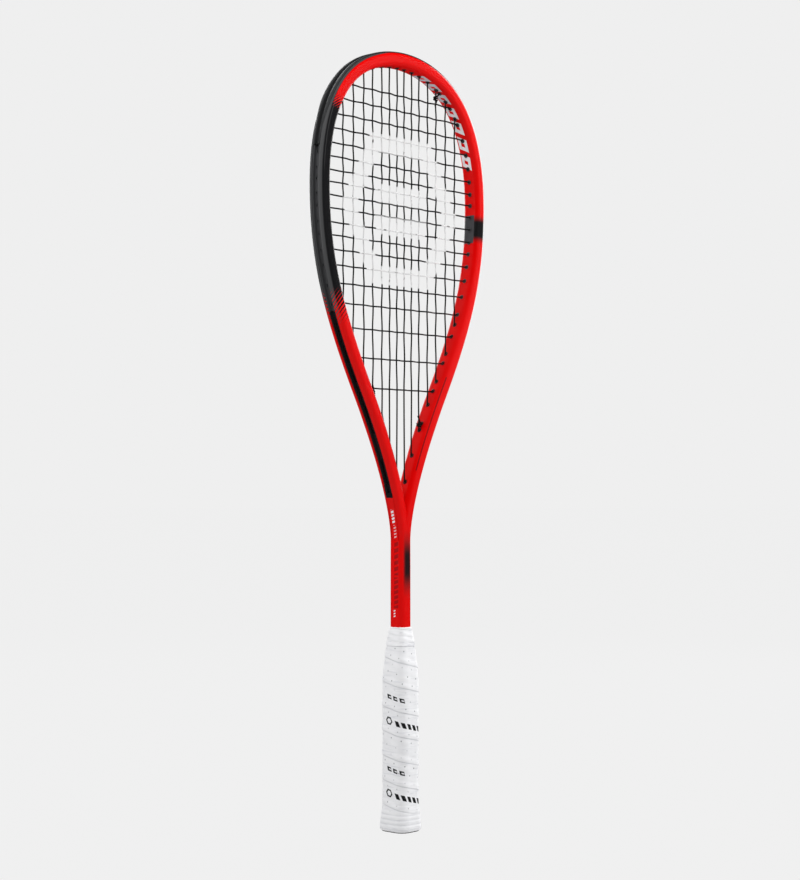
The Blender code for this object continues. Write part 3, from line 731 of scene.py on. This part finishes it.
def plain_material(name, low, high, roughness, scale, metallic=0.0, stretch=(1, 1, 1)):
    """Two shades of one colour in a grain, for pieces that hardly show."""
    sh = Shader(name, roughness, metallic=metallic)
    grain = sh.noise(scale, 4.0, stretch)
    sh.colour(sh.mix(grain, low, high))
    sh.roughness(sh.total(sh.product(grain, 0.2), roughness - 0.1))
    sh.bump(grain, 0.00008, 0.5)
    return sh.material


# ---- frame

HALVES_OVERLAP = 4 * MM
JOIN_INSET = 0.02 * MM  # off the left half, so that no faces coincide where the halves meet
ON_RIM_Z = (262 * MM, 266 * MM)  # where the shaft's paint gives way to the rim's


def tube_depth_at(s):
    """Half the depth of the tube, which thins toward the join."""
    taper = (RIM.length - abs(s)) / THROAT_TAPER_LENGTH
    return JOIN_HALF_DEPTH + (TUBE_HALF_DEPTH - JOIN_HALF_DEPTH) * min(1.0, taper)


def tube_section(s, inset=0.0):
    """(n, y) of the tube: a rounded rectangle with a groove that fades out at its end."""
    outline = rounded_rectangle(TUBE_HALF_WIDTH - inset, tube_depth_at(s) - inset,
                                TUBE_CORNER - inset)[1:]
    top, half = TUBE_HALF_WIDTH - inset, GROOVE_HALF_WIDTH
    wall = [(top, half + 0.45 * MM), (top - 0.12 * MM, half + 0.12 * MM), (top - 0.45 * MM, half),
            (GROOVE_FLOOR + 0.3 * MM, half), (GROOVE_FLOOR, half - 0.3 * MM)]
    groove = np.array([(n, -y) for n, y in wall] + [(GROOVE_FLOOR, 0.0)] + wall[::-1])
    depth = smoothstep(GROOVE_END + 0.5 * MM, GROOVE_END - 0.5 * MM, abs(s))
    groove[:, 0] = top - (top - groove[:, 0]) * depth
    return np.vstack([outline, groove])


def add_attributes(mesh, **layers):
    """Numbers at each vertex, for the materials to read."""
    for name, values in layers.items():
        layer = mesh.attributes.new(name, "FLOAT", "POINT")
        layer.data.foreach_set("value", np.asarray(values, np.float32))


def make_frame(material):
    """Both halves of the tube and the shaft, joined, with each point's place on the rim."""
    groove_ends = np.linspace(GROOVE_END - 0.6 * MM, GROOVE_END + 0.6 * MM, 7)
    places = stations_between(-HALVES_OVERLAP, RIM.length, 2.5 * MM, groove_ends)
    solids = []
    for side, inset in ((1, 0.0), (-1, JOIN_INSET)):
        rings = [RIM.at(side * s, *tube_section(s, inset).T) for s in places]
        solids.append(make_piece(f"tube_{side}", [(rings, False)]))
    rings = [level_ring(rounded_rectangle(*sizes), z) for z, *sizes in SHAFT_LINES]
    solids.append(make_piece("shaft", [(rings, False)]))
    for other in solids[1:]:
        modifier = solids[0].modifiers.new("join", "BOOLEAN")
        modifier.operation = "UNION"
        modifier.solver = "MANIFOLD"
        modifier.object = other
    graph = bpy.context.evaluated_depsgraph_get()
    mesh = bpy.data.meshes.new_from_object(solids[0].evaluated_get(graph))
    for obj in solids:
        bpy.data.objects.remove(obj, do_unlink=True)
    mesh.name = "racket_frame"
    mesh.materials.clear()
    mesh.materials.append(material)
    points = np.array([vertex.co for vertex in mesh.vertices])
    s, n = RIM.nearest(points)
    add_attributes(mesh, rim_s=np.abs(s) / MM, right_half=s >= 0, rim_n=n / MM,
                   on_rim=smoothstep(*ON_RIM_Z, points[:, 2]))
    mesh.shade_smooth()
    mesh.set_sharp_from_angle(angle=math.radians(38))
    obj = bpy.data.objects.new("racket_frame", mesh)
    link(obj)
    ride(obj, "frame")


# ---- bumper and grommet strips

def channelled(*lip):
    """(n, y) round a strip with a channel down its middle, from the points of one lip."""
    half = [(STRIP_BASE_TOP, 0.0), (STRIP_BASE_TOP, STRIP_CHANNEL - 0.3 * MM),
            (STRIP_BASE_TOP + 0.3 * MM, STRIP_CHANNEL), *lip, (STRIP_FLOOR, STRIP_HALF_WIDTH),
            (STRIP_FLOOR, 0.0)]
    return np.array([(n, -y) for n, y in half[::-1]] + half[1:-1])


BUMPER_FLANGE = 6.2 * MM
TONGUE_FLANGE = 3.7 * MM
TONGUE_DROP = 0.6 * MM
TONGUE_LENGTH = 46 * MM


def bumper_section(s):
    """(n, y) of the bumper, whose flanges draw in to a tongue at each end."""
    tongue = float(smoothstep(BUMPER_END - TONGUE_LENGTH, BUMPER_END - 2 * MM, abs(s)))
    flange = BUMPER_FLANGE + (TONGUE_FLANGE - BUMPER_FLANGE) * tongue
    top = BUMPER_TOP - TONGUE_DROP * tongue
    under = TUBE_HALF_WIDTH + 0.08 * MM
    return channelled(
        (top - 0.5 * MM, STRIP_CHANNEL), (top - 0.12 * MM, STRIP_CHANNEL + 0.15 * MM),
        (top, STRIP_CHANNEL + 0.5 * MM),
        (top - 0.05 * MM, flange - 1.0 * MM * (1 - tongue) - 0.35 * MM),
        (top - 0.35 * MM, flange - 0.12 * MM), (under, flange),
        (under, max(STRIP_HALF_WIDTH, flange - 1.2 * MM)))


def strip_section(_):
    """(n, y) of a side or lower strip, the same all along."""
    side, channel, top = STRIP_HALF_WIDTH, STRIP_CHANNEL, STRIP_TOP
    return channelled(
        (top - 0.3 * MM, channel), (top - 0.05 * MM, channel + 0.2 * MM),
        (top, (channel + side) / 2), (top - 0.05 * MM, side - 0.2 * MM), (top - 0.3 * MM, side))


def turned(s, profile, sides=14):
    """Rings on the axis of the grommet at s, from (n, radius) pairs."""
    base = RIM.at(s)
    outward = RIM.at(s, 1.0) - base
    circle = circle_of(sides) @ [(-outward[2], 0.0, outward[0]), (0.0, 1.0, 0.0)]
    return [base + outward * n + circle * radius for n, radius in profile]


def make_strip(name, start, end, section, material, node):
    """A strip with its grommets' barrels and collars."""
    tubes = [([RIM.at(s, *section(s).T) for s in stations_between(start, end, 2.2 * MM)], False)]
    for s in grommet_places():
        if start < s < end:
            tubes += [(turned(s, profile), True) for profile in (BARREL, COLLAR)]
    ride(make_piece(name, tubes, material), node)


# ---- strings

def loop_outside(first, second, lane, height=LANE_HEIGHT):
    """A string's run over the strip, out of the grommet at first and in at second."""
    ease = math.copysign(LANE_EASE if lane else 0, second - first)
    count = max(3, int(abs(second - first) / (3 * MM)))
    run = [RIM.at(s, height, lane) for s in np.linspace(first + ease, second - ease, count)]
    return [RIM.at(first, INNER_BEND), RIM.at(first, height), *run,
            RIM.at(second, height), RIM.at(second, INNER_BEND)]


def main_places(index):
    """The head and foot places of a main, counted from the left."""
    rank = MAINS - 1 - index if index < MAINS else index - MAINS
    sign = -1 if index < MAINS else 1
    return sign * main_head(rank), sign * main_foot(rank)


class Weave:
    """The crossings of the strings, and the smooth lines through them."""

    def __init__(self):
        self.mains = []
        for index in range(2 * MAINS):
            head, foot = (RIM.at(s, INNER_BEND) for s in main_places(index))
            knots = [(foot[2], 0.0)]
            for cross in reversed(range(CROSSES)):
                z = cross_height(cross)
                if foot[2] + 3 * MM < z < head[2] - 3 * MM:
                    knots.append((z, MAIN_WEAVE if (index + cross) % 2 else -MAIN_WEAVE))
            knots.append((head[2], 0.0))
            self.mains.append((head, foot, np.array(knots)))

    def main_at(self, index, z):
        """Points at heights z on a main string."""
        head, foot, knots = self.mains[index]
        z = np.atleast_1d(z)
        x = foot[0] + (head[0] - foot[0]) * (z - foot[2]) / (head[2] - foot[2])
        return np.column_stack([x, swing(z, knots), z])

    def main_leg(self, index):
        """A main's line from its head to its foot."""
        head, foot, _ = self.mains[index]
        count = int((head[2] - foot[2]) / (1.7 * MM))
        return list(self.main_at(index, np.linspace(head[2], foot[2], count)[1:-1]))

    def cross_leg(self, index):
        """A cross's line from left to right, over and under the mains."""
        z = cross_height(index)
        right = RIM.at(cross_end(index), INNER_BEND)
        knots = [(-right[0], 0.0)]
        for main, (_, _, table) in enumerate(self.mains):
            match = np.flatnonzero(np.abs(table[1:-1, 0] - z) < TINY)
            if len(match):
                over = -math.copysign(CROSS_WEAVE, table[match[0] + 1, 1])
                knots.append((self.main_at(main, z)[0][0], over))
        knots.append((right[0], 0.0))
        count = int(2 * right[0] / (1.5 * MM))
        x = np.linspace(-right[0], right[0], count)[1:-1]
        return list(np.column_stack([x, swing(x, np.array(knots)), np.full(len(x), z)]))


def swing(place, knots):
    """A line that eases from each (place, value) of knots to the next."""
    index = np.clip(np.searchsorted(knots[:, 0], place) - 1, 0, len(knots) - 2)
    low, high = knots[index], knots[index + 1]
    part = np.clip((place - low[:, 0]) / (high[:, 0] - low[:, 0]), 0, 1)
    return low[:, 1] + (high[:, 1] - low[:, 1]) * (0.5 - 0.5 * np.cos(np.pi * part))


def knot(weave, hole, main, start_z, rise, tail):
    """A string out of a grommet, wound round a main from start_z, and ending in a tail."""
    mouth = RIM.at(hole, INNER_BEND)
    side = math.copysign(1, mouth[0] - weave.main_at(main, start_z)[0][0])
    path = [mouth]
    for turn in np.linspace(0, KNOT_TURNS, int(KNOT_TURNS * 20)):
        core = weave.main_at(main, start_z + rise * KNOT_PITCH * turn)[0]
        angle = math.tau * turn
        path.append(core + KNOT_RADIUS * np.array([side * math.cos(angle), -math.sin(angle), 0]))
    return path + [path[-1] + np.array(tail) / np.linalg.norm(tail) * TAIL_LENGTH]


def main_string_path(weave):
    """From the left foot knot, up and down every main, to the right foot knot."""
    knot_z = RIM.at(FOOT_TIE_OFF, INNER_BEND)[2] - FOOT_KNOT_DROP
    ends = []
    for side, main, lean in ((-1, MAINS - 3, -0.35), (1, MAINS + 2, -0.55)):
        run = loop_outside(side * main_foot(MAINS - 1), side * FOOT_TIE_OFF, 0, UPPER_LANE_HEIGHT)
        turns = knot(weave, side * FOOT_TIE_OFF, main, knot_z, 1, (lean, -0.1, 0.85))
        ends.append(run + turns[1:])
    path = ends[0][::-1]
    for index in range(2 * MAINS):
        upward = index % 2 == 0
        leg = weave.main_leg(index)
        path += leg[::-1] if upward else leg
        if index < 2 * MAINS - 1:
            which = 0 if upward else 1
            path += loop_outside(main_places(index)[which], main_places(index + 1)[which], LANE)
    return path + ends[1]


def cross_string_path(weave):
    """From the knot at the head, to and fro over every cross, to the left foot."""
    head_knot_z = RIM.at(HEAD_TIE_OFF, INNER_BEND)[2] - HEAD_KNOT_DROP
    path = knot(weave, HEAD_TIE_OFF, MAINS + 4, head_knot_z, -1, (-0.5, -0.1, -0.85))[::-1]
    path += loop_outside(HEAD_TIE_OFF, cross_end(0), -LANE)[1:]
    for index in range(CROSSES):
        leftward = index % 2 == 0
        leg = weave.cross_leg(index)
        path += leg[::-1] if leftward else leg
        side = -1 if leftward else 1
        if index < CROSSES - 1:
            path += loop_outside(side * cross_end(index), side * cross_end(index + 1), -LANE)
    path += loop_outside(-cross_end(CROSSES - 1), -LAST_TIE_OFF, -LANE)
    last_knot_z = RIM.at(LAST_TIE_OFF, INNER_BEND)[2] + LAST_KNOT_RISE
    return path + knot(weave, -LAST_TIE_OFF, MAINS - 4, last_knot_z, 1, (-0.4, -0.1, 0.9))[1:]


def make_string(name, path, material, node):
    rings = tube_rings(round_corners(path, STRING_BEND), STRING_RADIUS)
    ride(make_piece(name, [(rings, False)], material), node)


# ---- handle

def grip_outline(z, inset, count):
    """Evenly spaced points round the wrapped grip at height z."""
    scale = float(np.interp(z, GRIP_HEIGHTS, GRIP_SCALES))
    corner = max(GRIP_CORNER * scale - inset, 1.5 * MM)
    outline = rounded_rectangle(GRIP_WIDTH * scale / 2 - inset, GRIP_DEPTH * scale / 2 - inset,
                                corner, 12)
    return evenly_spaced(outline, count)


def pushed_out(outline, offset):
    """An outline with each point moved along its normal."""
    step = np.roll(outline, -1, axis=0) - np.roll(outline, 1, axis=0)
    normals = np.column_stack([step[:, 1], -step[:, 0]])
    normals /= np.linalg.norm(normals, axis=1)[:, None]
    return outline + normals * offset[:, None]


GRIP_RINGS = 360
GRIP_COLUMNS = 240
GRIP_INSET = 0.33 * MM
CALM_Z = (12 * MM, 22 * MM)  # where the folds over the butt give way to flat laps
FOLD_HEIGHT = 0.12 * MM
FOLD_PITCH = 4.1 * MM
FACING = 0.632  # the share of the way round the grip, from +X, that faces the camera

# The tape, in millimetres
GRIP_GIRTH = 97.0
EDGE_Z = 11.1  # the height of an overlap at +X
OVERLAP_HEIGHT = 0.42
PIT_STEP = (10.8, 7.13)  # along and across the tape
PIT_RADIUS = 0.75
PIT_DEPTH = 0.35


def tape_relief(u, z):
    """Height of the wrap over the plain outline, how deep in a pit, and how near an edge.

    u is an array of shares of the way round, and z is the height. All in millimetres.
    """
    pitch = WRAP_PITCH / MM
    phase = (z - EDGE_Z) / pitch + u
    wrap = np.floor(phase)
    across = (phase - wrap) * pitch
    overlap = smoothstep(0.0, 0.35, across) * (1 - smoothstep(2.6, 6.2, across))
    along = (wrap + u) * 3 + wrap * 0.37
    wave = 0.05 * np.sin(along * 5.1 + across * 0.9) + 0.04 * np.sin(u * 37 + z * 0.35)
    row = np.floor(across / PIT_STEP[1])
    place = (u * GRIP_GIRTH + row * PIT_STEP[0] / 2 + wrap * 3.3) / PIT_STEP[0]
    off_along = (place - np.floor(place) - 0.5) * PIT_STEP[0]
    off_across = across - (row + 0.5) * PIT_STEP[1]
    pit = 1 - smoothstep(PIT_RADIUS * 0.45, PIT_RADIUS, np.hypot(off_along, off_across))
    near_edge = np.minimum(across, pitch - across)
    edge = np.exp(-(near_edge / 0.38) ** 2)
    strength = 0.5 + 0.5 * np.sin(np.floor(place) * 12.9 + row * 4.7 + wrap * 7.3)
    pit = pit * (0.25 + 0.75 * strength)
    return OVERLAP_HEIGHT * overlap + wave - PIT_DEPTH * pit, pit, edge


def make_grip(material):
    """The wrapped tape, with what its print and painted shade need at each point."""
    u = np.arange(GRIP_COLUMNS) / GRIP_COLUMNS
    rings, pits, edges = [], [], []
    for z in np.linspace(TAPE_FOOT_Z + 0.35 * MM, TAPE_TOP_Z - 0.3 * MM, GRIP_RINGS):
        relief, pit, edge = tape_relief(u, z / MM)
        calm = float(smoothstep(*CALM_Z, z))
        rounding = 0.9 * MM * (1 - float(smoothstep(0, 2.2 * MM, z - TAPE_FOOT_Z))) ** 2
        fold = math.sin(math.tau * z / FOLD_PITCH) * (1 - calm)
        offset = relief * MM * calm + FOLD_HEIGHT * fold - rounding
        outline = grip_outline(z, GRIP_INSET, GRIP_COLUMNS)
        rings.append(level_ring(pushed_out(outline, offset), z))
        pits.append(pit * calm)
        # Painted shade in the creases of the folds over the butt, kept with the painted shade
        # along the overlap edges
        fold_shade = 0.7 * max(0.0, -math.sin(math.tau * z / FOLD_PITCH)) ** 3 * (1 - calm)
        edges.append(np.maximum(edge * calm, fold_shade))
    for z, inset in ((TAPE_TOP_Z, 0.9 * MM), (TAPE_FOOT_Z, 1.75 * MM)):
        rings.append(level_ring(grip_outline(z, inset, GRIP_COLUMNS), z))
        pits.append(np.zeros(GRIP_COLUMNS))
        edges.append(np.zeros(GRIP_COLUMNS))
    obj = make_piece("grip_wrap", [(rings, True)], material, sharp=60)
    around = np.tile((u - FACING + 0.25) % 0.5 - 0.25, len(rings))
    heights = np.vstack(rings)[:, 2]
    # The edge numbers set where shade is painted along the overlap edges and in the folds
    add_attributes(obj.data, print_a=around * GRIP_GIRTH, pit=np.concatenate(pits),
                   print_z=(heights + around * WRAP_PITCH) / MM, edge=np.concatenate(edges))
    ride(obj, "grip_tape")


FINISH_COLUMNS = 120
FINISH_RINGS = 44
FINISH_INSET = 0.25 * MM
LAP_PITCH = 5.2 * MM
LAP_PHASE_Z = 164 * MM
LAP_HEIGHT = 0.24 * MM
WRINKLE_HEIGHT = 0.05 * MM


def make_finishing_wrap(material):
    """The narrow tape in laps round the top of the grip."""
    low, high = TAPE_TOP_Z + 0.05 * MM, FINISH_TOP_Z
    u = np.arange(FINISH_COLUMNS) / FINISH_COLUMNS
    rings = []
    for z in np.linspace(low, high, FINISH_RINGS):
        lap = ((z - LAP_PHASE_Z) / LAP_PITCH + u) % 1
        step = LAP_HEIGHT * smoothstep(0, 0.08, lap) * (1 - smoothstep(0.35, 0.95, lap))
        wrinkle = WRINKLE_HEIGHT * np.sin(u * 31 + z / MM * 1.3)
        rounding = 0.45 * MM * float(smoothstep(high - 1.2 * MM, high, z)) ** 2
        outline = grip_outline(z, FINISH_INSET, FINISH_COLUMNS)
        rings.append(level_ring(pushed_out(outline, step + wrinkle - rounding), z))
    inside = evenly_spaced(rounded_rectangle(7.35 * MM, 8.05 * MM, 5.0 * MM, 12), FINISH_COLUMNS)
    rings += [level_ring(inside, high), level_ring(inside, low)]
    obj = make_piece("finishing_wrap", [(rings, True)], material, sharp=60)
    ride(obj, "finishing_tape")


# ---- stage, lights and camera

VIEW_FROM = math.radians(47.5)  # the camera stands this far round to the racket's left
CAMERA_DISTANCE = 1618.8 * MM
CAMERA_HEIGHT = 298.2 * MM
CAMERA_PITCH = math.radians(1.586)
CAMERA_TURN = math.radians(-0.016)
SENSOR = 36.0  # millimetres, as is the lens
LENS = 74.958


def direction(azimuth, elevation):
    """Outward from the racket. Azimuth 0 is to its front, and a quarter turn to its right."""
    return Vector((math.sin(azimuth) * math.cos(elevation),
                   -math.cos(azimuth) * math.cos(elevation), math.sin(elevation)))


def make_camera():
    data = bpy.data.cameras.new("camera")
    data.sensor_width = SENSOR
    data.lens = LENS
    data.clip_end = 100
    camera = bpy.data.objects.new("camera", data)
    ahead = direction(math.pi - VIEW_FROM - CAMERA_TURN, CAMERA_PITCH)
    camera.location = direction(-VIEW_FROM, 0) * CAMERA_DISTANCE + Vector((0, 0, CAMERA_HEIGHT))
    camera.rotation_mode = "QUATERNION"
    camera.rotation_quaternion = ahead.to_track_quat("-Z", "Y")
    link(camera)
    bpy.context.scene.camera = camera


LIT_PLACE = Vector((0, 0, 0.42))

# Name, azimuth and elevation in degrees, distance and size in metres, power in watts, and whether
# glossy surfaces show the lamp
LIGHTS = (
    ("key", 44, 22, 1.9, (1.3, 1.5), 30.0, False),
    ("front_gloss", 0, 35, 1.9, (0.5, 1.3), 3.0, True),
    ("left_top", -76, 56, 1.8, (1.3, 1.3), 30.0, False),
    ("right_gloss", 100, 18, 1.9, (0.9, 1.2), 20.0, True),
    ("back", 165, 24, 1.9, (0.8, 1.3), 14.0, True),
    ("left_back", -140, 30, 2.0, (0.9, 1.2), 8.0, False),
    ("left_sheen", -118, 8, 2.0, (0.25, 1.2), 1.6, True),
)


def add_light(name, azimuth, elevation, distance, size, power, shiny):
    """A soft box turned to the racket."""
    data = bpy.data.lights.new(name, "AREA")
    data.shape = "RECTANGLE"
    data.size, data.size_y = size
    data.energy = power
    light = bpy.data.objects.new(name, data)
    back = direction(math.radians(azimuth), math.radians(elevation))
    light.location = LIT_PLACE + back * distance
    light.rotation_mode = "QUATERNION"
    light.rotation_quaternion = back.to_track_quat("Z", "Y")
    light.visible_camera = False
    light.visible_glossy = shiny
    link(light)


BACKGROUND = 0.863
FLOOR_GLOW = 0.860
FLOOR_SHADES = ((0.007, 0.007, 0.007), (0.008, 0.008, 0.008))
FLOOR_RADIUS = 30
FLOOR_THICKNESS = 0.05
FLOOR_SIDES = 96


def make_stage():
    """A pale round floor, which glows so that it meets the backdrop in the same shade."""
    sh = Shader("studio_floor", 0.9, specular=0.0)
    sh.colour(sh.mix(sh.noise(3.0, 2.0), *FLOOR_SHADES))
    sh.bsdf.inputs["Emission Color"].default_value = (1, 1, 1, 1)
    sh.bsdf.inputs["Emission Strength"].default_value = FLOOR_GLOW
    circle = circle_of(FLOOR_SIDES) * FLOOR_RADIUS
    rings = [level_ring(circle, z) for z in (-FLOOR_THICKNESS, 0.0)]
    floor = make_piece("floor", [(rings, False)], sh.material)
    floor.visible_glossy = False
    world = bpy.data.worlds.new("studio")
    bpy.context.scene.world = world
    world.use_nodes = True
    tree = world.node_tree
    background = tree.nodes["Background"]
    background.inputs["Color"].default_value = (1, 1, 1, 1)
    background.inputs["Strength"].default_value = BACKGROUND
    world.cycles_visibility.glossy = False
    world.cycles_visibility.diffuse = False


# ---- the whole scene

make_camera()
make_stage()
for light_row in LIGHTS:
    add_light(*light_row)
bpy.context.scene.view_settings.view_transform = "Standard"

nylon = nylon_material("bumper_nylon", (0.028, 0.029, 0.030), 0.33)
strip_nylon = nylon_material("side_strip_nylon", (0.040, 0.041, 0.043), 0.45)
lower_nylon = nylon_material("lower_strip_nylon", (0.012, 0.012, 0.013), 0.42)
string_fibre = string_material()

make_frame(paint_material())
make_strip("head_bumper", -BUMPER_END, BUMPER_END, bumper_section, nylon, "bumper_guard")
for name, node, start, end, finish in (
    ("side_strip", "grommet_strip", BUMPER_END, THROAT_STRIP_START, strip_nylon),
    ("lower_strip", "throat_strip", THROAT_STRIP_START, GROOVE_END, lower_nylon),
):
    low, high = start + STRIP_GAP, end - STRIP_GAP
    make_strip(f"{name}_left", -high, -low, strip_section, finish, f"{node}_left")
    make_strip(f"{name}_right", low, high, strip_section, finish, f"{node}_right")
weave = Weave()
make_string("woven_mains", main_string_path(weave), string_fibre, "main_string")
make_string("woven_crosses", cross_string_path(weave), string_fibre, "cross_string")
make_grip(grip_material())
make_finishing_wrap(finishing_material())

# The CAD nodes that stay, with the same shapes and better finishes
foam = plain_material("pallet_foam", (0.42, 0.36, 0.24), (0.60, 0.54, 0.40), 0.8, 900.0)
moulding = plain_material("cap_moulding", (0.03, 0.03, 0.032), (0.06, 0.06, 0.064), 0.5, 1500.0)
wire = plain_material("staple_wire", (0.45, 0.45, 0.46), (0.70, 0.70, 0.72), 0.3, 700.0,
                      metallic=1.0, stretch=(1, 12, 1))
for node, finish in (("pallet_left", foam), ("pallet_right", foam), ("butt_cap", moulding),
                     ("cap_staple_left", wire), ("cap_staple_right", wire)):
    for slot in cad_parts[node].material_slots:
        slot.material = finish

bpy.context.view_layer.update()
